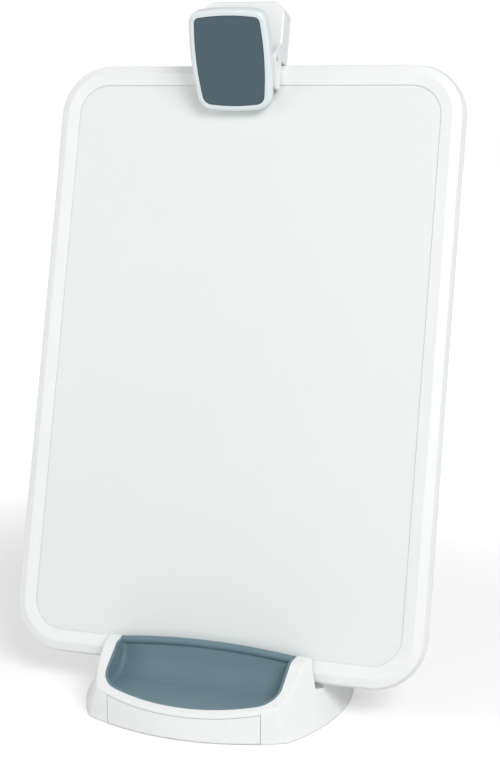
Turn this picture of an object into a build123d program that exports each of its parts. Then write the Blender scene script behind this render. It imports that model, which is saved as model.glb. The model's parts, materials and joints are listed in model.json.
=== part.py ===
from build123d import *
import os
from math import asin, cos, degrees, pi, radians, sin, sqrt

# A free-standing document holder: a leaning writing board in a flared base with a shallow
# drawer, and a squeeze clip that sits astride the board's upper edge.
# Millimetres and degrees. X runs along the desk, Y away from the user, Z up from the desk.
# While the pieces are made, Y is counted from the line where the writing panel meets its lower rim.
# The board and the clip are drawn flat in the board's own axes: x, then v up the board from the
# panel's lower edge, then k out of the panel towards the user.

os.makedirs("parts", exist_ok=True)

# ---------------------------------------------------------------- driving dimensions
sliding_gap = 0.3  # between pieces that move past each other
seat_gap = 0.15  # between pieces that nest and stay together

# Board
board_lean = 15.7  # back from the vertical
panel_edge_height = 33.5  # of the panel's lower edge over the desk
panel_width = 222.0  # the part that shows inside the rim
panel_length = 329.0
panel_corner = 17.5
rim_width = 13.8  # from the panel's edge out to the frame's side
rim_crest_out = 7.1  # the crest's place on the rim, out from the panel's edge
rim_crest = 1.8  # its height over the panel
rim_shoulder_out = 12.2
rim_shoulder_drop = 0.3
rim_side_drop = 6.0  # where the frame's side ends and its rounded back edge begins
lip_edge = 0.5  # thickness of the rim's inner lip
lip_gap = 0.3
rim_soft_radius = 1.2
rim_back_radius = 0.8
board_back_depth = 8.0  # from the panel's face to the board's back
frame_wall = 2.0
rib_out = 4.5  # the inner rib that locates the sheet
rib_wall = 1.8
panel_thickness = 0.6
back_thickness = 1.6

# Screws
back_screw_radius = 1.05
back_screw_head = 2.2
back_screw_head_height = 0.9
back_screw_length = 5.2
back_boss_radius = 2.9
back_screw_rows = 3
back_screw_from_corner = 42.0
end_screw_spread = 85.0  # of the screws in the short sides, from the middle
mount_screw_radius = 1.4
mount_screw_head = 2.8
mount_screw_head_height = 1.8
mount_screw_length = 13.5
mount_screw_spread = 53.5
mount_screw_back = 3.8  # of its axis, behind the panel's face
mount_boss_width = 7.0
mount_tower_radius = 4.5
mount_tower_drop = 4.5  # below the slot
cover_screw_radius = 1.3
cover_screw_head = 2.5
cover_screw_head_height = 1.2
cover_screw_length = 9.0
cover_boss_radius = 3.4
screw_play = 0.05

# Base shell
base_wall = 2.4
base_front = 54.0  # in front of the panel's lower edge
base_rear = 95.0
base_half_width = 77.4
base_widest_back = 22.0
waist_half_width = 67.0  # the side walls flare out to the desk
waist_widest_back = 10.0
waist_rear_inset = 6.0
crown_half_width = 61.3
crown_widest_back = 10.0
crown_rear_inset = 10.0
front_radius = 126.0
side_radius = 110.0
rear_radius = 120.0
front_corner = 5.6
rear_corner = 34.0
base_foot_gap = 0.4  # between the shell's lower edge and the desk
waist_height = 17.0
crown_height = 40.0
deck_front_height = 16.0
deck_front_back = 24.0  # from the front edge back to where the rim steepens
deck_step_height = 25.5
ear_height = 35.3
ear_front = 13.0  # in front of the panel's lower edge
ear_back = 15.0
hump_back = 36.0
hump_height = 24.0
deck_rear_height = 14.0
deck_bends = (22.0, 6.0, 7.0, 24.0)  # radii along the deck, front to back
rim_round = 1.8
deck_overrun = 20.0  # how far the deck's cutting shapes run past the base

# Slot that the board stands in
slot_depth = 16.0
slot_front = 2.5
slot_back = 8.4
seat_width = 12.0

# Scoop
scoop_front = 50.0
scoop_half_width = 52.6
scoop_half_width_front = 51.0
scoop_corner = 16.0
scoop_floor = 17.2
scoop_bend = 15.0  # where the floor sweeps up into the back wall
scoop_edge_round = 3.0
scoop_wall = 1.3
lip_back = 2.6
lip_front = 5.2
lip_bead_radius = 2.3
lip_rise = 4.2  # of the lip's middle over the panel's lower edge, along the board
lip_arch = 3.1  # how much lower its ends are

# Drawer
drawer_ceiling = 13.4
drawer_half_width = 42.2
drawer_floor_height = 3.6
drawer_wall = 1.6
drawer_depth_front = 42.6
drawer_depth_back = 58.0
drawer_rim_height = 12.4
drawer_front_half_width = 44.6
drawer_front_drop = 2.2  # of its top edge below the deck's front edge
drawer_front_bottom = 0.8
drawer_seam = 0.25
drawer_travel = 70.0
drawer_post_spread = 25.0
drawer_post_radius = 3.2
drawer_screw_radius = 1.1
drawer_screw_head = 2.2
drawer_screw_head_height = 1.1
drawer_screw_length = 5.5
stop_tab_spread = 30.0
stop_tab_width = 8.0
stop_tab_rise = 0.8
stop_rib_wall = 1.7
stop_gap = 0.1
glide_gap = 0.1

# Base cover and feet
cover_height = 1.2
cover_thickness = 2.0
rail_wall = 1.8
rail_height = 6.0
rail_setback = 5.0  # behind the drawer's front end
glide_width = 3.0
glide_spread = 34.0
back_stop_spread = 25.0
back_stop_width = 8.0
back_stop_height = 6.0
foot_radius = 6.0
foot_recess = 0.6
front_feet = (52.0, -28.0)
rear_feet = (50.0, 70.0)
front_cover_screws = (57.5, -9.0)
rear_cover_screws = (58.0, 48.0)

# Clip
clip_middle = -10.0  # where it sits along the board's upper edge
clip_half_width = 25.3
cheek_wall = 2.2
grip_top = 50.2  # over the panel's upper edge
grip_front = 5.0
grip_back = 11.6
grip_wall = 2.0
grip_corner = 10.0
grip_back_bend = 8.0
grip_front_bend = 3.0
grip_front_edge = 1.4
grip_back_edge = 4.0
saddle_play = 0.2
arm_gap = 2.6  # from the panel's face to the arms
arm_tip_drop = 1.5  # of the arm tip's centre below the panel's upper edge
arm_tip_radius = 2.0
arm_root_rise = 23.0
arm_root_radius = 1.2
rear_jaw_drop = 12.0
rear_jaw_half_width = 19.0
rear_jaw_overlap = 4.0  # up into the grip
rear_jaw_wall = 2.4
saddle_pad_thickness = 1.0
saddle_pad_drop = 10.0
saddle_pad_length = 14.0
saddle_pad_half_width = 15.0
bridge_spread = 9.0
bridge_wall = 2.0
bridge_height = 6.0

lever_tilt = 32.0
lever_length = 59.8
lever_drop = 17.3  # of the lever's lower edge below the panel's upper edge
lever_stand_off = 6.0  # of that edge's face over the panel
lever_depth = 7.0
lever_half_width = 24.2
lever_half_width_low = 21.4
lever_half_width_high = 22.7
lever_end_bulge = 2.0
lever_corner_low = 9.0
lever_corner_high = 7.0
lever_wall = 2.2
lever_edge_round = 2.0
pad_margin = 3.4
pad_depth = 1.6
pad_below_rim = 0.25
pad_edge_round = 0.5
skin_thickness = 1.8
lug_wall = 2.4
lug_radius = 3.4
lug_root = 8.0  # half its length along the lever

pin_radius = 1.5
pin_below_top_edge = 1.3  # below the board's upper side
pin_stand_off = 11.5
pin_play = 0.06
pin_seat_play = 0.02
pin_end_gap = 0.4
knuckle_radius = 3.7

jaw_half_length = 14.0
jaw_height = 6.5
jaw_reach = 1.5  # past the lever's back edge
jaw_gap = 0.15
lever_panel_gap = 0.6

spring_wire = 1.1
spring_radius = 5.2  # of the coil's middle line
spring_turns = 4
spring_pitch = 1.75
spring_leg = 14.0
spring_seat_width = 3.0
spring_seat_start = 6.0  # from the pin, along the leg
spring_seat_end = 15.0
spring_touch = 0.05

# ---------------------------------------------------------------- shared places
lean_sin, lean_cos = sin(radians(board_lean)), cos(radians(board_lean))
tilt_sin, tilt_cos = sin(radians(lever_tilt)), cos(radians(lever_tilt))
board_place = Pos(0, 0, panel_edge_height) * Rot(90 - board_lean, 0, 0)
board_top = panel_length + rim_width
deck_front_slope = (deck_step_height - deck_front_height) / deck_front_back
core_back = -board_back_depth + back_thickness
far = 400.0  # longer than anything that is cut with it
sides = (-1, 1)


def block(x, y, z):
    """A box between pairs of x, y and z."""
    size = (x[1] - x[0], y[1] - y[0], z[1] - z[0])
    middle = ((x[0] + x[1]) / 2, (y[0] + y[1]) / 2, (z[0] + z[1]) / 2)
    return Pos(*middle) * Box(*size)


def around(middle, half):
    """The pair of places at half a width on each side of a middle."""
    return middle - half, middle + half


def rod(radius, length):
    """A cylinder that starts at the origin and runs up Z."""
    return Cylinder(radius, length, align=(Align.CENTER, Align.CENTER, Align.MIN))


def screw(radius, length, head_radius, head_height):
    """A screw with its head's underside at the origin and its shank up Z."""
    return rod(radius, length) + Pos(0, 0, -head_height) * rod(head_radius, head_height)


def together(pieces):
    """Separate pieces kept as one group."""
    return Compound(children=list(pieces))


def board_point(v, k):
    """Y and Z of a point given in the board's own axes."""
    return v * lean_sin - k * lean_cos, panel_edge_height + v * lean_cos + k * lean_sin


# ---------------------------------------------------------------- board
def board_outline(margin):
    """The panel's visible outline, moved out by a margin."""
    width, length = panel_width + 2 * margin, panel_length + 2 * margin
    return Pos(0, panel_length / 2) * RectangleRounded(width, length, panel_corner + margin)


def board_plate(margin, bottom, top):
    return Pos(0, 0, bottom) * extrude(board_outline(margin), top - bottom)


def back_screw_places():
    out = (rib_out + rib_wall + rim_width - frame_wall) / 2
    side = panel_width / 2 + out
    step = (panel_length - 2 * back_screw_from_corner) / (back_screw_rows - 1)
    rows = [back_screw_from_corner + step * n for n in range(back_screw_rows)]
    return [(s * side, v) for s in sides for v in rows] + [
        (s * end_screw_spread, v) for s in sides for v in (-out, panel_length + out)]


def mount_screw_place(side, v):
    """A place on a mount screw's axis, with Z up the board."""
    return Pos(side * mount_screw_spread, v, -mount_screw_back) * Rot(-90, 0, 0)


def path_from_middle(wire):
    """A closed path that starts half way along the wire's right side."""
    first = wire.edges().filter_by(Axis.Y).sort_by(Axis.X)[-1]
    rest = [edge for edge in wire.edges() if edge.center() != first.center()]
    return Wire([first.trim(0.5, 1), *rest, first.trim(0, 0.5)])


def make_board_frame():
    top_inside = rim_crest - frame_wall
    rib_side = rib_out + rib_wall
    wall_inside = rim_width - frame_wall
    contour = [
        (lip_gap, 0), (lip_gap, lip_edge), (rim_crest_out, rim_crest),
        (rim_shoulder_out, -rim_shoulder_drop), (rim_width, -rim_side_drop), (rim_width, -board_back_depth),
        (wall_inside, -board_back_depth), (wall_inside, -rim_shoulder_drop - frame_wall),
        (rim_crest_out, top_inside), (rib_side, top_inside), (rib_side, core_back),
        (rib_out, core_back), (rib_out, 0),
    ]
    section = make_face(Polyline(*contour, close=True))
    soft_places = ((rim_crest_out, rim_crest), (rim_shoulder_out, -rim_shoulder_drop))
    soft_corners = [section.vertices().sort_by_distance(place + (0,))[0] for place in soft_places]
    section = fillet(soft_corners, rim_soft_radius)
    section = fillet(section.vertices().sort_by(Axis.Y)[0:2].sort_by(Axis.X)[-1], rim_back_radius)
    upright = Plane((panel_width / 2, panel_length / 2, 0), x_dir=(1, 0, 0), z_dir=(0, -1, 0))
    ring = sweep(upright * section, path=path_from_middle(board_outline(0).face().outer_wire()))
    boss_height = top_inside - core_back + 0.2
    ring += [Pos(x, v, core_back) * rod(back_boss_radius, boss_height) for x, v in back_screw_places()]
    ring += [block(around(s * mount_screw_spread, mount_boss_width / 2),
                   (-wall_inside - 0.2, -rib_side + 0.2), (core_back, top_inside + 0.2)) for s in sides]
    back_hole = rod(back_screw_radius + screw_play, back_screw_length)
    ring -= [Pos(x, v, core_back) * back_hole for x, v in back_screw_places()]
    mount_hole = rod(mount_screw_radius + screw_play, rim_width - rib_side)
    ring -= [mount_screw_place(s, -rim_width) * mount_hole for s in sides]
    return board_place * ring


def make_writing_panel():
    return board_place * board_plate(rib_out - seat_gap, -panel_thickness, 0)


def make_board_core():
    return board_place * board_plate(rib_out - seat_gap, core_back, -panel_thickness)


def make_board_back():
    plate = board_plate(rim_width - frame_wall - seat_gap, -board_back_depth, core_back)
    head_space = rod(back_screw_head + seat_gap, back_screw_head_height)
    shank_space = rod(back_screw_radius + seat_gap, back_thickness)
    plate -= [Pos(x, v, -board_back_depth) * (head_space + shank_space) for x, v in back_screw_places()]
    return board_place * plate


def make_back_screws():
    one = screw(back_screw_radius, back_screw_length, back_screw_head, back_screw_head_height)
    head_floor = -board_back_depth + back_screw_head_height
    return board_place * together(Pos(x, v, head_floor) * one for x, v in back_screw_places())


def make_mount_screws():
    one = screw(mount_screw_radius, mount_screw_length, mount_screw_head, mount_screw_head_height)
    return board_place * together(
        mount_screw_place(s, -slot_depth - mount_tower_drop) * one for s in sides)


# ---------------------------------------------------------------- base
def base_outline(half_width, widest_back, rear, inset):
    """A rounded D of four large arcs with filleted corners, drawn in by an inset."""
    shape = Pos(0, front_radius - base_front) * Circle(front_radius - inset)
    for side in sides:
        shape &= Pos(side * (half_width - side_radius), widest_back) * Circle(side_radius - inset)
    shape &= Pos(0, rear - rear_radius) * Circle(rear_radius - inset)
    shape = fillet(shape.vertices().group_by(Axis.Y)[0], front_corner - inset)
    return fillet(shape.vertices().group_by(Axis.Y)[-1], rear_corner - inset)


def base_body(inset):
    """The base's flared body, up to above its ears."""
    levels = (
        (base_foot_gap, base_half_width, base_widest_back, base_rear),
        (waist_height, waist_half_width, waist_widest_back, base_rear - waist_rear_inset),
        (crown_height, crown_half_width, crown_widest_back, base_rear - crown_rear_inset),
    )
    return loft([Pos(0, 0, z) * base_outline(half_width, widest_back, rear, inset)
                 for z, half_width, widest_back, rear in levels])


def deck_region(drop):
    """Everything under the deck's top line, which is lowered by a drop."""
    start = (-base_front - deck_overrun, deck_front_height - deck_overrun * deck_front_slope - drop)
    end = (base_rear + deck_overrun, deck_rear_height - drop)
    line = FilletPolyline(
        start, (-base_front + deck_front_back, deck_step_height - drop), (-ear_front, ear_height - drop),
        (ear_back, ear_height - drop), (hump_back, hump_height - drop), end, radius=deck_bends)
    under = Polyline(end, (end[0], -deck_overrun), (start[0], -deck_overrun), start)
    return extrude(Plane.YZ * make_face([*line.edges(), *under.edges()]), far / 2, both=True)


def in_front_of(k):
    """Everything on the user's side of a plane parallel to the panel."""
    return board_place * block((-far, far), (-far, far), (k, far))


def scoop_outline(margin):
    """The scoop's opening seen from above, moved out by a margin."""
    lean_in = (scoop_half_width - scoop_half_width_front) / scoop_front
    back, front = deck_overrun, scoop_front + deck_overrun
    wide, narrow = scoop_half_width + lean_in * back, scoop_half_width - lean_in * front
    wedge = make_face(Polyline((wide, back), (narrow, -front), (-narrow, -front), (-wide, back), close=True))
    arc_radius = front_radius - base_front + scoop_front
    shape = wedge & Pos(0, front_radius - base_front) * Circle(arc_radius)
    shape = fillet(shape.vertices().group_by(Axis.Y)[0], scoop_corner)
    return offset(shape, margin) if margin else shape


def scoop_block(margin, back_plane):
    """The scoop's whole space, grown by a margin, in front of a plane along the board."""
    space = Pos(0, 0, scoop_floor - scoop_wall - margin) * extrude(scoop_outline(margin), far / 4)
    return space & in_front_of(back_plane)


def scoop_hollow():
    """The space inside the scoop, open upwards, with the floor swept up into the back wall."""
    low, high = board_point(-deck_overrun, lip_front), board_point(deck_overrun, lip_front)
    reach = (scoop_floor - low[1]) / (high[1] - low[1])
    corner = (low[0] + reach * (high[0] - low[0]), scoop_floor)
    start = (-base_front - deck_overrun, scoop_floor)
    line = FilletPolyline(start, corner, high, radius=scoop_bend)
    above = Polyline(high, (start[0], high[1]), start)
    hollow = extrude(Plane.YZ * make_face([*line.edges(), *above.edges()]), far / 2, both=True)
    hollow &= extrude(scoop_outline(-scoop_wall), far / 4)
    low_edges = [edge for edge in hollow.edges() if edge.bounding_box().min.Z < ear_height
                 and abs(edge.tangent_at(0.3).Z) < 0.999 and abs(edge.tangent_at(0.3).X) < 0.9999]
    return fillet(low_edges, scoop_edge_round)


def lip():
    """The scoop's arched upper lip: a wall with a rolled bead along it, in the board's own axes."""
    arch_radius = (scoop_half_width**2 + lip_arch**2) / (2 * lip_arch)
    bead_v = lip_rise - lip_bead_radius
    section = Pos(bead_v, lip_back + lip_bead_radius) * Circle(lip_bead_radius)
    section += Pos(bead_v, lip_back) * Rectangle(
        slot_depth, lip_front - lip_back, align=(Align.MAX, Align.MIN))
    middle = Pos(0, lip_rise - arch_radius, 0)
    axis = Axis((0, lip_rise - arch_radius, 0), (0, 0, 1))
    sweep_angle = 2 * degrees(asin(scoop_half_width / arch_radius))
    bow = revolve(Plane.YZ * section, axis, revolution_arc=sweep_angle)
    return middle * Rot(0, 0, -sweep_angle / 2) * middle.inverse() * bow


def make_scoop_insert():
    outside = scoop_block(0, lip_back)
    tray = (outside & deck_region(0)) - scoop_hollow()
    return tray + ((board_place * lip()) & outside)


def cover_screw_places():
    return [(s * x, y) for x, y in (front_cover_screws, rear_cover_screws) for s in sides]


def mouth(play):
    """The space in the base's front wall that the drawer's front fills, grown by a play.

    Seen from the front, its top runs along the deck's front edge, so it's the same all the way back."""
    arc_radius = front_radius / deck_front_slope
    arc_middle = deck_front_height - drawer_front_drop + arc_radius
    front_view = Rectangle(2 * (drawer_front_half_width + play), far)
    front_view -= Pos(0, arc_middle) * Circle(arc_radius - play)
    return Pos(0, -base_front / 2, 0) * extrude(Plane.XZ * front_view, far / 2)


def make_base_shell():
    body = base_body(0) & deck_region(0)
    brim = [edge for edge in body.edges() if edge.bounding_box().min.Z > base_foot_gap + 1
            and abs(edge.tangent_at(0.3).X) < 0.9999]
    body = fillet(brim, rim_round)
    whole = body
    room = base_body(base_wall) + Pos(0, 0, -1) * extrude(
        base_outline(base_half_width, base_widest_back, base_rear, base_wall), base_foot_gap + 1)
    body -= room & block((-far, far), (-far, hump_back), (-far, drawer_ceiling))
    body -= (room & deck_region(base_wall)) - in_front_of(-slot_back - base_wall)
    cover_top = cover_height + cover_thickness
    body += [(Pos(x, y, cover_top) * rod(cover_boss_radius, crown_height)) & whole
             for x, y in cover_screw_places()]
    tower = rod(mount_tower_radius, mount_tower_drop + 1)
    body += [board_place * mount_screw_place(s, -slot_depth - mount_tower_drop) * tower for s in sides]
    stop_y = drawer_depth_back - drawer_wall - drawer_travel - stop_gap
    tab_top = drawer_rim_height + stop_tab_rise
    body += [block(around(s * stop_tab_spread, stop_tab_width / 2), (stop_y - stop_rib_wall, stop_y),
                   (tab_top - stop_tab_rise / 2, drawer_ceiling + 1)) for s in sides]
    body -= board_place * block((-far, far), (-slot_depth, far), (-slot_back, slot_front))
    body += board_place * together(
        block(around(s * mount_screw_spread, seat_width / 2), (-slot_depth - 1, -rim_width),
              (-slot_back - 1, slot_front + 1)) for s in sides)
    body -= scoop_block(seat_gap, lip_back - seat_gap)
    body -= mouth(drawer_seam) - base_body(base_wall + sliding_gap)
    cover_hole = rod(cover_screw_radius + screw_play, cover_screw_length)
    body -= [Pos(x, y, cover_height) * cover_hole for x, y in cover_screw_places()]
    mount_hole = rod(mount_screw_radius + seat_gap, 2 * slot_depth)
    body -= [board_place * mount_screw_place(s, -slot_depth - mount_tower_drop) * mount_hole for s in sides]
    return body


def foot_places():
    front, rear = front_feet, rear_feet
    return {
        "foot_front_left": (-front[0], front[1]), "foot_front_right": front,
        "foot_rear_left": (-rear[0], rear[1]), "foot_rear_right": rear,
    }


def make_base_cover():
    top = cover_height + cover_thickness
    plate = base_body(base_wall + sliding_gap) & block((-far, far), (-far, far), (cover_height, top))
    plate -= mouth(drawer_seam) - base_body(2 * base_wall)
    rail_start = drawer_half_width + sliding_gap
    rail_reach = (rail_setback - drawer_depth_front, drawer_depth_back)
    for side in sides:
        rail_x = sorted((side * rail_start, side * (rail_start + rail_wall)))
        plate += block(rail_x, rail_reach, (top - 0.5, top + rail_height))
        plate += block(around(side * glide_spread, glide_width / 2), rail_reach,
                       (top - 0.5, drawer_floor_height - glide_gap))
        plate += block(around(side * back_stop_spread, back_stop_width / 2),
                       (drawer_depth_back + stop_gap, drawer_depth_back + stop_gap + rail_wall),
                       (top - 0.5, top + back_stop_height))
    head_space = rod(cover_screw_head + seat_gap, cover_screw_head_height)
    shank_space = rod(cover_screw_radius + seat_gap, cover_thickness)
    plate -= [Pos(x, y, cover_height) * (head_space + shank_space) for x, y in cover_screw_places()]
    plate -= [Pos(x, y, cover_height) * rod(foot_radius + seat_gap, foot_recess)
              for x, y in foot_places().values()]
    return plate


def make_cover_screws():
    one = screw(cover_screw_radius, cover_screw_length - cover_screw_head_height, cover_screw_head,
                cover_screw_head_height)
    return together(Pos(x, y, cover_height + cover_screw_head_height) * one for x, y in cover_screw_places())


def make_foot(place):
    return Pos(*place) * rod(foot_radius, cover_height + foot_recess)


# ---------------------------------------------------------------- drawer
def drawer_screw_place(side, y):
    """A place on a drawer screw's axis, with Z towards the user."""
    middle = (drawer_floor_height + drawer_rim_height) / 2
    return Pos(side * drawer_post_spread, y, middle) * Rot(90, 0, 0)


def make_drawer_tray():
    low, high = drawer_floor_height, drawer_rim_height
    front, back = -drawer_depth_front, drawer_depth_back
    inside = drawer_half_width - drawer_wall
    tray = block(around(0, drawer_half_width), (front, back), (low, high))
    tray -= block(around(0, inside), (front + drawer_wall, back - drawer_wall), (low + drawer_wall, far))
    tray += [block(around(s * stop_tab_spread, stop_tab_width / 2 - sliding_gap), (back - drawer_wall, back),
                   (high - 0.5, high + stop_tab_rise)) for s in sides]
    hole = rod(drawer_screw_radius + screw_play, drawer_wall)
    return tray - [drawer_screw_place(s, front + drawer_wall) * hole for s in sides]


def make_drawer_front():
    wall = base_body(0) - base_body(base_wall)
    post = rod(drawer_post_radius, base_front - drawer_depth_front)
    posts = together(drawer_screw_place(s, -drawer_depth_front) * post for s in sides)
    front = (wall + (posts & base_body(base_wall / 2))) & mouth(0)
    front &= block((-far, far), (-far, far), (drawer_front_bottom, far))
    hole = rod(drawer_screw_radius + screw_play, drawer_screw_length - drawer_wall)
    return front - [drawer_screw_place(s, -drawer_depth_front) * hole for s in sides]


def make_drawer_screws():
    one = screw(drawer_screw_radius, drawer_screw_length, drawer_screw_head, drawer_screw_head_height)
    return together(drawer_screw_place(s, -drawer_depth_front + drawer_wall) * one for s in sides)


# ---------------------------------------------------------------- clip
clip_place = board_place * Pos(clip_middle, 0, 0)
lever_place = clip_place * Pos(0, panel_length - lever_drop, lever_stand_off) * Rot(lever_tilt, 0, 0)
pin_v = board_top - pin_below_top_edge
pin_k = pin_stand_off
pin_rise = pin_v - panel_length + lever_drop
pin_out = pin_k - lever_stand_off
pin_s = pin_rise * tilt_cos + pin_out * tilt_sin
pin_q = pin_out * tilt_cos - pin_rise * tilt_sin
saddle_v = board_top + saddle_play
grip_v = panel_length + grip_top
cheek_inside = clip_half_width - cheek_wall


def crosswise_rod(radius, half_length):
    """A cylinder along X, centred on the origin."""
    return Cylinder(radius, 2 * half_length, rotation=(0, 90, 0))


def grip_block(inset, low_v):
    """The grip's rounded box, drawn in by an inset, down to a given place."""
    front, back, top = grip_front - inset, -grip_back + inset, grip_v - inset
    half = clip_half_width - inset
    side_view = make_face(Polyline((low_v, front), (top, front), (top, back), (low_v, back), close=True))
    side_view = fillet(side_view.vertices().filter_by_position(Axis.X, top - 1, top + 1).filter_by_position(
        Axis.Y, back - 1, back + 1), grip_back_bend - inset)
    side_view = fillet(side_view.vertices().filter_by_position(Axis.X, top - 1, top + 1).filter_by_position(
        Axis.Y, front - 1, front + 1), grip_front_bend - inset / 2)
    front_view = make_face(Polyline((-half, low_v), (half, low_v), (half, top), (-half, top), close=True))
    front_view = fillet(front_view.vertices().group_by(Axis.Y)[-1], grip_corner - inset)
    top_view = make_face(Polyline((-half, front), (half, front), (half, back), (-half, back), close=True))
    top_view = fillet(top_view.vertices().group_by(Axis.Y)[0], grip_back_edge - inset)
    top_view = fillet(top_view.vertices().group_by(Axis.Y)[-1], grip_front_edge - inset / 2)
    grip = extrude(Plane.YZ * side_view, half, both=True) & extrude(front_view, far / 4, both=True)
    return grip & extrude(Plane.XZ * top_view, far, both=True)


def cheek_shape():
    """The outline of a cheek: from the arm's tip round the knuckle to its root on the grip."""
    knuckle = Pos(pin_v, pin_k) * Circle(knuckle_radius)
    tip = Pos(panel_length - arm_tip_drop, arm_gap + arm_tip_radius) * Circle(arm_tip_radius)
    root = Pos(panel_length + arm_root_rise, arm_gap + arm_root_radius) * Circle(arm_root_radius)
    return make_hull([*knuckle.edges(), *tip.edges(), *root.edges()])


def make_clip_saddle():
    saddle = grip_block(0, saddle_v) - grip_block(grip_wall, saddle_v - 1)
    for side in sides:
        start = side * cheek_inside
        saddle += Pos(start, 0, 0) * extrude(Plane.YZ * cheek_shape(), side * cheek_wall)
        saddle += block(around(side * bridge_spread, bridge_wall / 2), (saddle_v, saddle_v + bridge_height),
                        (-grip_back + grip_wall / 2, grip_front - grip_wall / 2))
    jaw_face = -board_back_depth - seat_gap - saddle_pad_thickness
    saddle += block(around(0, rear_jaw_half_width),
                    (panel_length - rear_jaw_drop, saddle_v + rear_jaw_overlap),
                    (jaw_face - rear_jaw_wall, jaw_face))
    leg_face = pin_k - spring_radius - spring_wire / 2 - spring_touch
    saddle += block(around(spring_start, spring_seat_width / 2),
                    (pin_v + spring_seat_start, pin_v + spring_seat_end), (grip_front - 0.5, leg_face))
    saddle -= Pos(0, pin_v, pin_k) * crosswise_rod(pin_radius + pin_seat_play, clip_half_width + 1)
    return clip_place * saddle


def make_saddle_pad():
    middle = panel_length - saddle_pad_drop + saddle_pad_length / 2
    face = -board_back_depth - seat_gap
    return clip_place * block(around(0, saddle_pad_half_width), around(middle - saddle_pad_length / 2,
                              saddle_pad_length / 2), (face - saddle_pad_thickness, face))


def lever_outline(inset):
    """The lever seen square on, widest near its middle, drawn in by an inset."""
    low, high, top = lever_half_width_low, lever_half_width_high, lever_length
    rim = [
        ThreePointArc((-low, lever_end_bulge), (0, 0), (low, lever_end_bulge)),
        ThreePointArc((-high, top - lever_end_bulge), (0, top), (high, top - lever_end_bulge)),
    ]
    for side in sides:
        rim.append(ThreePointArc((side * low, lever_end_bulge), (side * lever_half_width, top / 2),
                                 (side * high, top - lever_end_bulge)))
    discs = [Pos(arc.arc_center) * Circle(arc.radius - inset) for arc in rim]
    shape = discs[0] & discs[1] & discs[2] & discs[3]
    shape = fillet(shape.vertices().group_by(Axis.Y)[0], lever_corner_low - inset)
    return fillet(shape.vertices().group_by(Axis.Y)[-1], lever_corner_high - inset)


def lever_layer(inset, back, front):
    """A layer of the lever's outline between two depths."""
    return Pos(0, 0, back) * extrude(lever_outline(inset), front - back)


def make_clip_lever():
    skin_back = -pad_depth - skin_thickness
    lever = lever_layer(0, -lever_depth, 0)
    lever = fillet(lever.faces().sort_by(Axis.Z)[-1].edges(), lever_edge_round)
    lever -= lever_layer(lever_wall, -lever_depth, skin_back)
    lever -= lever_layer(pad_margin, -pad_depth, 1)
    lug_outer = cheek_inside - sliding_gap
    lug_foot = Pos(pin_s, (skin_back - lever_depth) / 2) * Rectangle(2 * lug_root, lever_depth + skin_back)
    eye = Pos(pin_s, pin_q) * Circle(lug_radius)
    lug_shape = make_hull([*lug_foot.edges(), *eye.edges()])
    for side in sides:
        lever += Pos(side * lug_outer, 0, 0) * extrude(Plane.YZ * lug_shape, -side * lug_wall)
    leg_face = pin_q + spring_radius + spring_wire / 2 + spring_touch
    lever += block(around(spring_end, spring_seat_width / 2),
                   (pin_s + spring_seat_start, pin_s + spring_seat_end), (leg_face, skin_back + 0.5))
    lever -= Pos(0, pin_s, pin_q) * crosswise_rod(pin_radius + pin_play, clip_half_width)
    return (lever_place * lever) & in_front_of(lever_panel_gap)


def make_clip_pad():
    pad = lever_layer(pad_margin + seat_gap, -pad_depth, -pad_below_rim)
    return lever_place * fillet(pad.faces().sort_by(Axis.Z)[-1].edges(), pad_edge_round)


def make_clip_jaw():
    skin_back = -pad_depth - skin_thickness
    strip = lever_layer(lever_wall + seat_gap, -lever_depth - jaw_reach, skin_back)
    strip &= block(around(0, jaw_half_length), (0, jaw_height), (-far, far))
    return (lever_place * strip) & in_front_of(jaw_gap)


def make_clip_pin():
    return clip_place * Pos(0, pin_v, pin_k) * crosswise_rod(pin_radius, clip_half_width - pin_end_gap)


# The spring winds round the pin. Its first leg lies up the grip and its last leg up the lever. Angles
# are counted from straight up the board, towards the user.
spring_first_angle = -90.0
spring_last_angle = 90.0 + lever_tilt
spring_sweep = 360.0 * (spring_turns + 1) - (spring_last_angle - spring_first_angle)
spring_length = spring_pitch * spring_sweep / 360
spring_start = -spring_length / 2
spring_end = spring_length / 2
spring_steps = 4 * spring_turns + 2


def spring_point(turned):
    """A place on the coil, and the wire's direction there, after a turn in degrees."""
    angle = radians(spring_first_angle - turned)
    place = Vector(spring_start + spring_pitch * turned / 360, pin_v + spring_radius * cos(angle),
                   pin_k + spring_radius * sin(angle))
    rise = spring_pitch / (2 * pi)
    heading = Vector(rise, spring_radius * sin(angle), -spring_radius * cos(angle))
    return place, heading.normalized()


def biarc(start, start_heading, end, end_heading):
    """Two arcs that join two places smoothly, with the given headings."""
    chord = end - start
    both = start_heading + end_heading
    spread = 2 * (1 - start_heading.dot(end_heading))
    reach = (sqrt(chord.dot(both) ** 2 + spread * chord.dot(chord)) - chord.dot(both)) / spread
    first, last = start + start_heading * reach, end - end_heading * reach
    middle = (first + last) * 0.5
    heading = (last - first).normalized()
    return [TangentArc(start, middle, tangent=start_heading), TangentArc(middle, end, tangent=heading)]


def spring_path():
    turns = [spring_point(spring_sweep * n / spring_steps) for n in range(spring_steps + 1)]
    (start, heading), (end, last_heading) = turns[0], turns[-1]
    edges = [Line(start - heading * spring_leg, start)]
    for (a, a_heading), (b, b_heading) in zip(turns, turns[1:]):
        edges += biarc(a, a_heading, b, b_heading)
    return Wire([*edges, Line(end, end + last_heading * spring_leg)])


def least_gap(wire, thickness):
    """The least free distance between stretches of a wound wire that aren't neighbours."""
    count = int(wire.length / (thickness / 2))
    points = [wire @ (n / count) for n in range(count + 1)]
    apart = int(3 * thickness / (wire.length / count))
    return min((points[a] - points[b]).length for a in range(count + 1)
               for b in range(a + apart, count + 1)) - thickness


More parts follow.
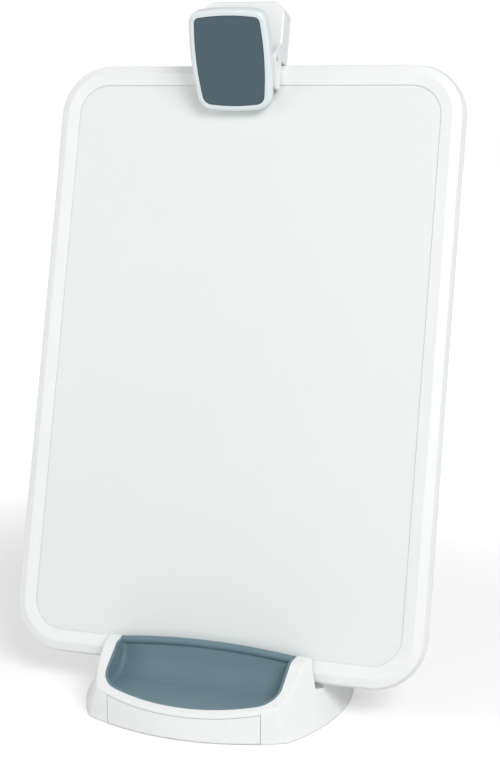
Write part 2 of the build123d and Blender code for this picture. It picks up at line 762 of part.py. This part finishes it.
def make_clip_spring():
    path = spring_path()
    print("clip spring: least gap to itself", round(least_gap(path, spring_wire), 2), "mm")
    section = Plane(path @ 0, z_dir=path % 0) * Circle(spring_wire / 2)
    return clip_place * sweep(section, path=path)


# ---------------------------------------------------------------- the whole
parts = {
    "board_frame": make_board_frame(),
    "writing_panel": make_writing_panel(),
    "board_core": make_board_core(),
    "board_back": make_board_back(),
    "back_screws": make_back_screws(),
    "mount_screws": make_mount_screws(),
    "base_shell": make_base_shell(),
    "scoop_insert": make_scoop_insert(),
    "base_cover": make_base_cover(),
    "cover_screws": make_cover_screws(),
    "drawer_tray": make_drawer_tray(),
    "drawer_front": make_drawer_front(),
    "drawer_screws": make_drawer_screws(),
    "clip_saddle": make_clip_saddle(),
    "saddle_pad": make_saddle_pad(),
    "clip_lever": make_clip_lever(),
    "clip_pad": make_clip_pad(),
    "clip_jaw": make_clip_jaw(),
    "clip_pin": make_clip_pin(),
    "clip_spring": make_clip_spring(),
}
parts.update({name: make_foot(place) for name, place in foot_places().items()})

# The origin is moved to the middle of the whole object's box, on the desk.
boxes = [piece.bounding_box() for piece in parts.values()]
middle_y = (min(box.min.Y for box in boxes) + max(box.max.Y for box in boxes)) / 2
middle_x = (min(box.min.X for box in boxes) + max(box.max.X for box in boxes)) / 2
for name, piece in parts.items():
    export_step(Pos(-middle_x, -middle_y, 0) * piece, f"parts/{name}.step")
print("moved by", round(-middle_x, 3), round(-middle_y, 3))
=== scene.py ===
import json
from math import cos, radians, sin, tan

import bmesh
import bpy
from mathutils import Matrix, Vector


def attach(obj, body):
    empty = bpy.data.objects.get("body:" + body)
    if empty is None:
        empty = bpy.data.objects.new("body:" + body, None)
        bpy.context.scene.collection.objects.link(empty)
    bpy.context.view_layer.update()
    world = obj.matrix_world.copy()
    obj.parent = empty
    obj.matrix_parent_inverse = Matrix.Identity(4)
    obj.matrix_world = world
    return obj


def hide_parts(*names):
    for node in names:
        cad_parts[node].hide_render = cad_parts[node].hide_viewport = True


# A document holder: a white leaning board in a flared base with a blue-grey scoop and a shallow drawer,
# and a squeeze clip on the board's upper edge. Lengths are in metres, in the frame's own axes.

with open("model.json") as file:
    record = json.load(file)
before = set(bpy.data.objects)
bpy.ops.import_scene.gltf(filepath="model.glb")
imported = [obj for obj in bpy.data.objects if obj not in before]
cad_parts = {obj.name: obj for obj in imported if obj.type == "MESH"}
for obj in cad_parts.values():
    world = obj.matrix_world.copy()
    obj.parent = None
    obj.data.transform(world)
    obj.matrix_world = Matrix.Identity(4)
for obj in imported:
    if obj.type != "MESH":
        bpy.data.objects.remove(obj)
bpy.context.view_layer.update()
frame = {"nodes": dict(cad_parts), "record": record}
SLOTS = {part["node"]: part["material_slot"] for part in frame["record"]["subparts"]}

# ------------------------------------------------------------------ sizes
MM = 0.001
BOARD_LEAN = radians(15.7)
FRONT_LINE_Y = -28.956 * MM  # where the writing panel meets its lower rim
FRONT_LINE_Z = 33.5 * MM
BOARD_TILT = radians(90) - BOARD_LEAN
BOARD_PLACE = Matrix.Translation((0, FRONT_LINE_Y, FRONT_LINE_Z)) @ Matrix.Rotation(BOARD_TILT, 4, "X")
PANEL_WIDTH = 222 * MM
PANEL_LENGTH = 329 * MM
PANEL_CORNER = 17.5 * MM
CORNER_STEPS = 24

# Section of the board's frame: how far out from the panel's edge, how high over the panel, how round
FRAME_SECTION = (
    (0.3, 0.22, 0.0), (0.3, 0.5, 0.18),  # the lip, with a fine groove between it and the panel
    (7.1, 1.8, 0.75),  # the crest
    (12.2, -0.3, 1.1), (13.8, -6.0, 1.5), (13.8, -8.0, 0.8),  # the shoulder and the side
    (11.8, -8.0, 0.0), (11.8, -2.3, 0.3), (7.1, -0.2, 0.3),  # the hollow behind it
    (6.3, -0.2, 0.0), (6.3, -6.4, 0.0), (4.5, -6.4, 0.0), (4.5, 0.0, 0.0),  # the rib round the sheet
)
ROUND_STEPS = 6
FRAME_CREASE = radians(32)  # faces of the frame that meet more sharply than this keep their edge
SCREW_CREASE = radians(25)

# Screws: shank radius, head radius, head height
BACK_SCREW = (1.05, 2.2, 0.9)
COVER_SCREW = (1.3, 2.5, 1.2)
DRAWER_SCREW = (1.1, 2.2, 1.1)
MOUNT_SCREW = (1.4, 2.8, 1.8)
HEAD_BEVEL = 0.78  # the head's outer face, as a share of its radius
SLOT_REACH = 1.1  # length of the recess and its width, as shares of the head's radius
SLOT_WIDTH = 0.26
UP_THE_BOARD = BOARD_PLACE.to_3x3() @ Vector((0, 1, 0))
OUT_OF_THE_BOARD = BOARD_PLACE.to_3x3() @ Vector((0, 0, 1))

# ------------------------------------------------------------------ nodes and colours


def linear(code):
    """A colour written as sRGB hex, as Blender's linear RGBA."""
    parts = [int(code[n:n + 2], 16) / 255 for n in (1, 3, 5)]
    return (*[p / 12.92 if p <= 0.04045 else ((p + 0.055) / 1.055) ** 2.4 for p in parts], 1.0)


def add(tree, kind, links=None, **settings):
    """Adds a node. Settings set its properties; links give each input, by name or number, a value or
    a source."""
    node = tree.nodes.new(kind)
    for name, value in settings.items():
        setattr(node, name, value)
    for name, value in (links or {}).items():
        if isinstance(value, bpy.types.NodeSocket):
            tree.links.new(value, node.inputs[name])
        else:
            node.inputs[name].default_value = value
    return node


def empty_material(name):
    material = bpy.data.materials.new(name)
    material.use_nodes = True
    material.node_tree.nodes.clear()
    return material, material.node_tree


def noise(tree, size, detail=2.0, roughness=0.5):
    """Noise whose blotches measure about one size across."""
    place = add(tree, "ShaderNodeTexCoord").outputs["Object"]
    return add(tree, "ShaderNodeTexNoise", {
        "Vector": place, "Scale": 1 / size, "Detail": detail, "Roughness": roughness}).outputs["Fac"]


def spread(tree, value, low, high):
    """A value from 0 to 1, spread between a low and a high one."""
    return add(tree, "ShaderNodeMapRange", {
        "Value": value, "From Min": 0.3, "From Max": 0.7, "To Min": low, "To Max": high}).outputs["Result"]


def two_tones(tree, value, dark, light):
    mix = add(tree, "ShaderNodeMix", {"Factor": value}, data_type="RGBA")
    mix.inputs[6].default_value = linear(dark)
    mix.inputs[7].default_value = linear(light)
    return mix.outputs[2]


def times(tree, value, share):
    return add(tree, "ShaderNodeMath", {0: value, 1: share}, operation="MULTIPLY").outputs[0]


def soft_edges(tree, radius):
    """Normals that round a hard moulded edge off."""
    return add(tree, "ShaderNodeBevel", {"Radius": radius}, samples=6).outputs["Normal"]


def relief(tree, height, depth, normal):
    return add(tree, "ShaderNodeBump", {
        "Height": height, "Distance": depth, "Strength": 1.0, "Normal": normal}).outputs["Normal"]


def close(material, tree, shader):
    add(tree, "ShaderNodeOutputMaterial", {"Surface": shader.outputs[0]})
    return material


# ------------------------------------------------------------------ materials


def moulded_abs(name, dark, light, grain=0.55 * MM, depth=0.006 * MM, roughness=0.34):
    """ABS from a fine spark-eroded mould: a satin skin, bright but never mirror-like, with a barely
    visible grain. The real grain is 0.1 mm; it is drawn coarser so that it shows at all."""
    material, tree = empty_material(name)
    tone = two_tones(tree, noise(tree, 45 * MM), dark, light)
    gloss = spread(tree, noise(tree, 18 * MM), roughness - 0.03, roughness + 0.04)
    skin = relief(tree, noise(tree, grain, 1.0), depth, soft_edges(tree, 0.5 * MM))
    shader = add(tree, "ShaderNodeBsdfPrincipled", {
        "Base Color": tone, "Roughness": gloss, "IOR": 1.53, "Normal": skin,
        "Subsurface Weight": 0.08, "Subsurface Scale": 1.2 * MM, "Coat Weight": 0.08, "Coat Roughness": 0.2})
    return close(material, tree, shader)


def coated_steel():
    """Steel sheet with a baked white coating: smooth and even, with a faint orange peel about 3 mm
    across that only shows where light glances off it."""
    material, tree = empty_material("baked_white_steel")
    tone = two_tones(tree, noise(tree, 120 * MM), "#E8ECEB", "#EBEFEE")
    skin = relief(tree, noise(tree, 3.2 * MM, 1.0), 0.004 * MM, soft_edges(tree, 0.2 * MM))
    shader = add(tree, "ShaderNodeBsdfPrincipled", {
        "Base Color": tone, "Roughness": 0.36, "IOR": 1.5, "Normal": skin})
    return close(material, tree, shader)


def soft_touch(name, dark, light):
    """Plastic with a soft-touch lacquer: velvety blue-grey that scatters light widely and shows faint
    handling marks as changes of sheen rather than of colour."""
    material, tree = empty_material(name)
    tone = two_tones(tree, noise(tree, 22 * MM, 3.0), dark, light)
    gloss = spread(tree, noise(tree, 9 * MM, 3.0), 0.47, 0.56)
    skin = relief(tree, noise(tree, 0.45 * MM, 1.0), 0.008 * MM, soft_edges(tree, 0.35 * MM))
    shader = add(tree, "ShaderNodeBsdfPrincipled", {
        "Base Color": tone, "Roughness": gloss, "IOR": 1.48, "Normal": skin,
        "Sheen Weight": 0.12, "Sheen Roughness": 0.45})
    return close(material, tree, shader)


def moulded_rubber(name, colour, speck):
    """Grey elastomer: quite matt, with a dry, slightly dusty bloom."""
    material, tree = empty_material(name)
    tone = two_tones(tree, noise(tree, 1.5 * MM, 3.0), colour, speck)
    skin = relief(tree, noise(tree, 0.6 * MM, 2.0), 0.015 * MM, soft_edges(tree, 0.3 * MM))
    shader = add(tree, "ShaderNodeBsdfPrincipled", {
        "Base Color": tone, "Roughness": 0.72, "IOR": 1.5, "Normal": skin})
    return close(material, tree, shader)


def zinc_plated_steel():
    """Zinc plate with a clear passivate: cool grey metal with a cloudy, slightly uneven shine."""
    material, tree = empty_material("zinc_plated_steel")
    tone = two_tones(tree, noise(tree, 1.2 * MM, 3.0), "#A6ACB0", "#CDD1D3")
    gloss = spread(tree, noise(tree, 0.7 * MM, 2.0), 0.26, 0.42)
    shader = add(tree, "ShaderNodeBsdfPrincipled", {
        "Base Color": tone, "Metallic": 1.0, "Roughness": gloss, "Normal": soft_edges(tree, 0.12 * MM)})
    return close(material, tree, shader)


def drawn_spring_wire():
    """Drawn spring steel: bright, with fine lines along the wire that blur its highlights."""
    material, tree = empty_material("drawn_spring_wire")
    tone = two_tones(tree, noise(tree, 0.8 * MM, 3.0), "#8C9093", "#B9BCBD")
    gloss = spread(tree, noise(tree, 0.35 * MM, 2.0), 0.2, 0.34)
    shader = add(tree, "ShaderNodeBsdfPrincipled", {"Base Color": tone, "Metallic": 1.0, "Roughness": gloss})
    return close(material, tree, shader)


def pressed_hardboard():
    """Hardboard: brown wood fibre pressed flat, with short dark and pale flecks."""
    material, tree = empty_material("pressed_hardboard")
    tone = two_tones(tree, noise(tree, 0.9 * MM, 4.0, 0.7), "#6E4D31", "#A98460")
    skin = relief(tree, noise(tree, 0.5 * MM, 3.0), 0.03 * MM, soft_edges(tree, 0.2 * MM))
    shader = add(tree, "ShaderNodeBsdfPrincipled", {
        "Base Color": tone, "Roughness": 0.8, "Normal": skin})
    return close(material, tree, shader)


FINISHES = {
    "white_shell": moulded_abs("white_satin_abs", "#EFF1F1", "#F3F5F5"),
    "back_shell": moulded_abs("grained_white_abs", "#E6E8E8", "#ECEEEE", 1.1 * MM, 0.03 * MM, 0.48),
    "bezel_shell": moulded_abs("pale_grey_abs", "#E1E9EA", "#E5EDEE"),
    "painted_panel": coated_steel(),
    "scoop_grey": soft_touch("soft_touch_scoop", "#67818B", "#6D8790"),
    "pad_grey": soft_touch("soft_touch_pad", "#435963", "#495F69"),
    "rubber_grey": moulded_rubber("grey_elastomer", "#4A4E50", "#5A5E60"),
    "zinc_steel": zinc_plated_steel(),
    "spring_steel": drawn_spring_wire(),
    "fibreboard_core": pressed_hardboard(),
}

# What each node is finished in, where that isn't simply its own slot's finish
NODE_FINISHES = {
    "scoop_insert": "scoop_grey", "clip_pad": "pad_grey", "clip_lever": "bezel_shell",
    "board_back": "back_shell"}


def finish_nodes():
    """Gives every node of the frame its real material."""
    for name, node in frame["nodes"].items():
        finish = FINISHES[NODE_FINISHES.get(name, SLOTS[name])]
        for slot in node.material_slots:
            slot.material = finish


# ------------------------------------------------------------------ pieces grown by geometry nodes


def softened(corners):
    """A closed section with its corners rounded, as points in metres. A sweep hangs a section's own
    Y axis downwards, so the heights are turned over."""
    corners = [(Vector((out, -height, 0)), radius) for out, height, radius in corners]
    points = []
    for n, (here, radius) in enumerate(corners):
        if not radius:
            points.append(here * MM)
            continue
        back = (corners[n - 1][0] - here).normalized()
        ahead = (corners[(n + 1) % len(corners)][0] - here).normalized()
        half = back.angle(ahead) / 2
        middle = here + (back + ahead).normalized() * (radius / sin(half))
        start, end = here + back * (radius / tan(half)), here + ahead * (radius / tan(half))
        for step in range(ROUND_STEPS + 1):
            spoke = (start - middle).slerp(end - middle, step / ROUND_STEPS).normalized()
            points.append((middle + spoke * radius) * MM)
    return points


def geometry_tree(name, sizes):
    """A geometry node tree with a geometry input, one named input for each size, and a geometry output."""
    tree = bpy.data.node_groups.new(name, "GeometryNodeTree")
    tree.interface.new_socket("Geometry", in_out="INPUT", socket_type="NodeSocketGeometry")
    for size, kind in sizes.items():
        tree.interface.new_socket(size, in_out="INPUT", socket_type=kind)
    tree.interface.new_socket("Geometry", in_out="OUTPUT", socket_type="NodeSocketGeometry")
    return tree, add(tree, "NodeGroupInput").outputs


def end_tree(tree, geometry, material):
    real = add(tree, "GeometryNodeRealizeInstances", {"Geometry": geometry}).outputs[0]
    coated = add(tree, "GeometryNodeSetMaterial", {"Geometry": real, "Material": material}).outputs[0]
    add(tree, "NodeGroupOutput", {"Geometry": coated})


def grown(name, seed, tree, sizes, crease):
    """The plain mesh that a tree makes of a seed mesh and its sizes, with normals that point outwards."""
    source = bpy.data.objects.new(name + "_seed", seed)
    bpy.context.scene.collection.objects.link(source)
    grower = source.modifiers.new("grow", "NODES")
    grower.node_group = tree
    for item in tree.interface.items_tree:
        if item.in_out == "INPUT" and item.name in sizes:
            grower[item.identifier] = sizes[item.name]
    shape = source.evaluated_get(bpy.context.evaluated_depsgraph_get())
    mesh = bpy.data.meshes.new_from_object(shape)
    source.modifiers.remove(grower)
    bpy.data.objects.remove(source)
    work = bmesh.new()
    work.from_mesh(mesh)
    bmesh.ops.remove_doubles(work, verts=work.verts, dist=1e-6)
    bmesh.ops.recalc_face_normals(work, faces=work.faces)
    work.to_mesh(mesh)
    work.free()
    mesh.shade_smooth()
    mesh.set_sharp_from_angle(angle=crease)
    mesh.name = name
    piece = bpy.data.objects.new(name, mesh)
    bpy.context.scene.collection.objects.link(piece)
    return piece


def stand_in(piece, node, body):
    """Lets a piece ride on a body in the place of a node, which it hides."""
    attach(piece, body)
    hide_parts(node)


def frame_tree():
    """Sweeps a closed section round a rectangle with round corners, then stands it up on its lean."""
    floats = dict.fromkeys(("Panel Width", "Panel Length", "Corner Radius"), "NodeSocketFloat")
    tree, given = geometry_tree("board_frame_sweep", {
        **floats, "Corner Steps": "NodeSocketInt", "Turn": "NodeSocketRotation", "Place": "NodeSocketVector"})
    section = add(tree, "GeometryNodeMeshToCurve", {"Mesh": given["Geometry"]}).outputs[0]
    route = add(tree, "GeometryNodeCurvePrimitiveQuadrilateral", {
        "Width": given["Panel Width"], "Height": given["Panel Length"]}, mode="RECTANGLE").outputs[0]
    route = add(tree, "GeometryNodeFilletCurve", {
        "Curve": route, "Radius": given["Corner Radius"],
        "Count": given["Corner Steps"]}, mode="POLY").outputs[0]
    ring = add(tree, "GeometryNodeCurveToMesh", {"Curve": route, "Profile Curve": section}).outputs[0]
    stood = add(tree, "GeometryNodeTransform", {
        "Geometry": ring, "Rotation": given["Turn"], "Translation": given["Place"]}).outputs[0]
    end_tree(tree, stood, FINISHES["white_shell"])
    return tree


def make_board_frame():
    """The board's frame, with a sharper crest than its solid and a fine groove along the panel."""
    points = softened(FRAME_SECTION)
    section = bpy.data.meshes.new("frame_section")
    section.from_pydata(points, [(n, (n + 1) % len(points)) for n in range(len(points))], [])
    middle = BOARD_PLACE @ Vector((0, PANEL_LENGTH / 2, 0))
    piece = grown("frame_ring", section, frame_tree(), {
        "Panel Width": PANEL_WIDTH, "Panel Length": PANEL_LENGTH, "Corner Radius": PANEL_CORNER,
        "Corner Steps": CORNER_STEPS, "Turn": (BOARD_TILT, 0, 0), "Place": middle}, FRAME_CREASE)
    stand_in(piece, "board_frame", "base")


def islands(node):
    """The points of each separate solid in a node."""
    work = bmesh.new()
    work.from_mesh(frame["nodes"][node].data)
    bmesh.ops.remove_doubles(work, verts=work.verts, dist=1e-6)
    left, found = set(work.verts), []
    while left:
        group, edge = set(), {next(iter(left))}
        while edge:
            group |= edge
            edge = {other.other_vert(vert) for vert in edge for other in vert.link_edges} - group
        left -= group
        found.append([vert.co.copy() for vert in group])
    work.free()
    return sorted(found, key=lambda points: sum(points, Vector()).to_tuple())


def head_and_length(points, axis):
    """Where a screw's outer face lies, and how long it is, along its axis from head to tip."""
    along = [point.dot(axis) for point in points]
    across = [point - axis * point.dot(axis) for point in points]
    middle = Vector([(min(c) + max(c)) / 2 for c in zip(*across)])
    return middle + axis * min(along), max(along) - min(along)


def screw_tree():
    """A screw with a low bevelled head and a cross recess, put on every point, each turned its own way."""
    names = ("Shank Radius", "Length", "Head Radius", "Head Height", "Slot Width")
    tree, given = geometry_tree("screws", {
        **dict.fromkeys(names, "NodeSocketFloat"), "Turn": "NodeSocketRotation", "Seed": "NodeSocketInt"})
    face = times(tree, given["Head Radius"], HEAD_BEVEL)
    head = add(tree, "GeometryNodeMeshCone", {
        "Vertices": 28, "Side Segments": 1, "Fill Segments": 1, "Radius Top": given["Head Radius"],
        "Radius Bottom": face, "Depth": given["Head Height"]}).outputs["Mesh"]
    half = times(tree, given["Length"], 0.5)
    shank = add(tree, "GeometryNodeMeshCylinder", {
        "Vertices": 20, "Radius": given["Shank Radius"], "Depth": given["Length"]}).outputs["Mesh"]
    lifted = add(tree, "ShaderNodeCombineXYZ", {"Z": half}).outputs[0]
    shank = add(tree, "GeometryNodeTransform", {"Geometry": shank, "Translation": lifted}).outputs[0]
    reach = times(tree, given["Head Radius"], SLOT_REACH)
    slots = []
    for axes in (("X", "Y"), ("Y", "X")):
        size = add(tree, "ShaderNodeCombineXYZ", {
            axes[0]: reach, axes[1]: given["Slot Width"], "Z": given["Head Height"]}).outputs[0]
        slots.append(add(tree, "GeometryNodeMeshCube", {"Size": size}).outputs["Mesh"])
    body = add(tree, "GeometryNodeMeshBoolean", operation="UNION")
    for part in (head, shank):
        tree.links.new(part, body.inputs["Mesh 2"])
    cut = add(tree, "GeometryNodeMeshBoolean", {"Mesh 1": body.outputs[0]}, operation="DIFFERENCE")
    for part in slots:
        tree.links.new(part, cut.inputs["Mesh 2"])
    placed = add(tree, "GeometryNodeInstanceOnPoints", {
        "Points": given["Geometry"], "Instance": cut.outputs[0], "Rotation": given["Turn"]}).outputs[0]
    spin = add(tree, "FunctionNodeRandomValue", {
        "Max": radians(90), "Seed": given["Seed"]}, data_type="FLOAT")
    turned = add(tree, "ShaderNodeCombineXYZ", {"Z": spin.outputs[1]}).outputs[0]
    placed = add(tree, "GeometryNodeRotateInstances", {"Instances": placed, "Rotation": turned}).outputs[0]
    end_tree(tree, placed, FINISHES["zinc_steel"])
    return tree


def make_screws(tree, node, body, sizes, axis, seed):
    """Puts a screw where each solid of a node is. The axis points from head to tip."""
    shank, head, height = (size * MM for size in sizes)
    found = [head_and_length(points, axis) for points in islands(node)]
    heads = bpy.data.meshes.new(node + "_heads")
    heads.from_pydata([place for place, length in found], [], [])
    piece = grown(node + "_crossed", heads, tree, {
        "Shank Radius": shank, "Length": found[0][1], "Head Radius": head, "Head Height": height,
        "Slot Width": head * SLOT_WIDTH, "Turn": axis.to_track_quat("Z", "Y").to_euler(),
        "Seed": seed}, SCREW_CREASE)
    stand_in(piece, node, body)


# ------------------------------------------------------------------ studio
FLOOR_REACH = 6.0
LIFT_START, LIFT_END = 0.22, 0.75  # how far out the floor starts, and ends, turning white
ROOM_LIGHT = 0.5
LAMP_AIM = Vector((0, 0, 0.18))
LAMPS = (  # name, place, width in metres, power in watts
    ("key", (1.1, -1.15, 1.35), 1.0, 20.0),
    ("fill", (-1.3, -0.9, 0.8), 1.0, 4.2),
)


def plane(name, corners, material):
    mesh = bpy.data.meshes.new(name)
    mesh.from_pydata(corners, [], [tuple(range(len(corners)))])
    sheet = bpy.data.objects.new(name, mesh)
    bpy.context.scene.collection.objects.link(sheet)
    mesh.materials.append(material)
    return sheet


def studio_floor():
    """Matt white paper. A light of its own, seen by the camera alone, lifts it to white: a little under
    the object, where its soft shadow stays, and wholly further out."""
    material, tree = empty_material("studio_paper")
    paper = add(tree, "ShaderNodeBsdfDiffuse", {"Color": linear("#F2F2F2")})
    place = add(tree, "ShaderNodeTexCoord").outputs["Object"]
    away = add(tree, "ShaderNodeVectorMath", {0: place}, operation="LENGTH").outputs["Value"]
    lift = add(tree, "ShaderNodeMapRange", {
        "Value": away, "From Min": LIFT_START, "From Max": LIFT_END, "To Min": 0.24, "To Max": 0.9},
        interpolation_type="SMOOTHSTEP").outputs["Result"]
    seen = add(tree, "ShaderNodeLightPath").outputs["Is Camera Ray"]
    strength = times(tree, seen, lift)
    glow = add(tree, "ShaderNodeEmission", {"Color": (1, 1, 1, 1), "Strength": strength})
    both = add(tree, "ShaderNodeAddShader", {0: paper.outputs[0], 1: glow.outputs[0]})
    close(material, tree, both)
    corners = [(x * FLOOR_REACH, y * FLOOR_REACH, 0) for x, y in ((-1, -1), (1, -1), (1, 1), (-1, 1))]
    return plane("floor", corners, material)


def studio_light():
    """A large soft lamp high on the right and a weaker one on the left, in a bright even room. The
    camera sees the room as white."""
    world = bpy.data.worlds.new("studio")
    bpy.context.scene.world = world
    world.use_nodes = True
    tree = world.node_tree
    tree.nodes.clear()
    path = add(tree, "ShaderNodeLightPath").outputs
    seen = add(tree, "ShaderNodeMath", {0: path["Is Camera Ray"], 1: path["Is Transmission Ray"]},
               operation="MAXIMUM").outputs[0]
    strength = add(tree, "ShaderNodeMapRange", {
        "Value": seen, "To Min": ROOM_LIGHT, "To Max": 1.0}).outputs["Result"]
    room = add(tree, "ShaderNodeBackground", {"Color": (1, 1, 1, 1), "Strength": strength})
    add(tree, "ShaderNodeOutputWorld", {"Surface": room.outputs[0]})
    for name, place, size, power in LAMPS:
        lamp = bpy.data.lights.new(name, "AREA")
        lamp.shape = "DISK"
        lamp.size = size
        lamp.energy = power
        stand = bpy.data.objects.new(name, lamp)
        bpy.context.scene.collection.objects.link(stand)
        stand.location = place
        aim = LAMP_AIM - stand.location
        stand.rotation_euler = aim.to_track_quat("-Z", "Y").to_euler()


def photo_camera():
    """Stands to the right of the holder and a little above its middle."""
    azimuth, elevation, distance = radians(17.58), radians(11.39), 779.5 * MM
    aim = Vector((24.4 * MM, FRONT_LINE_Y, 190.5 * MM))
    away = Vector((sin(azimuth) * cos(elevation), -cos(azimuth) * cos(elevation), sin(elevation)))
    data = bpy.data.cameras.new("camera")
    data.sensor_width = 36
    data.lens = 36 * 1420 / 764  # the focal length, in pixels of the 764 pixel high picture, on a 36 mm side
    data.clip_start, data.clip_end = 0.01, 50
    camera = bpy.data.objects.new("camera", data)
    bpy.context.scene.collection.objects.link(camera)
    camera.location = aim + away * distance
    camera.rotation_euler = (-away).to_track_quat("-Z", "Y").to_euler()
    bpy.context.scene.camera = camera


# ------------------------------------------------------------------ the whole
finish_nodes()
make_board_frame()
screws = screw_tree()
make_screws(screws, "back_screws", "base", BACK_SCREW, OUT_OF_THE_BOARD, 1)
make_screws(screws, "cover_screws", "base", COVER_SCREW, Vector((0, 0, 1)), 2)
make_screws(screws, "mount_screws", "base", MOUNT_SCREW, UP_THE_BOARD, 3)
make_screws(screws, "drawer_screws", "drawer", DRAWER_SCREW, Vector((0, -1, 0)), 4)
studio_floor()
studio_light()
photo_camera()
bpy.context.scene.view_settings.view_transform = "Standard"
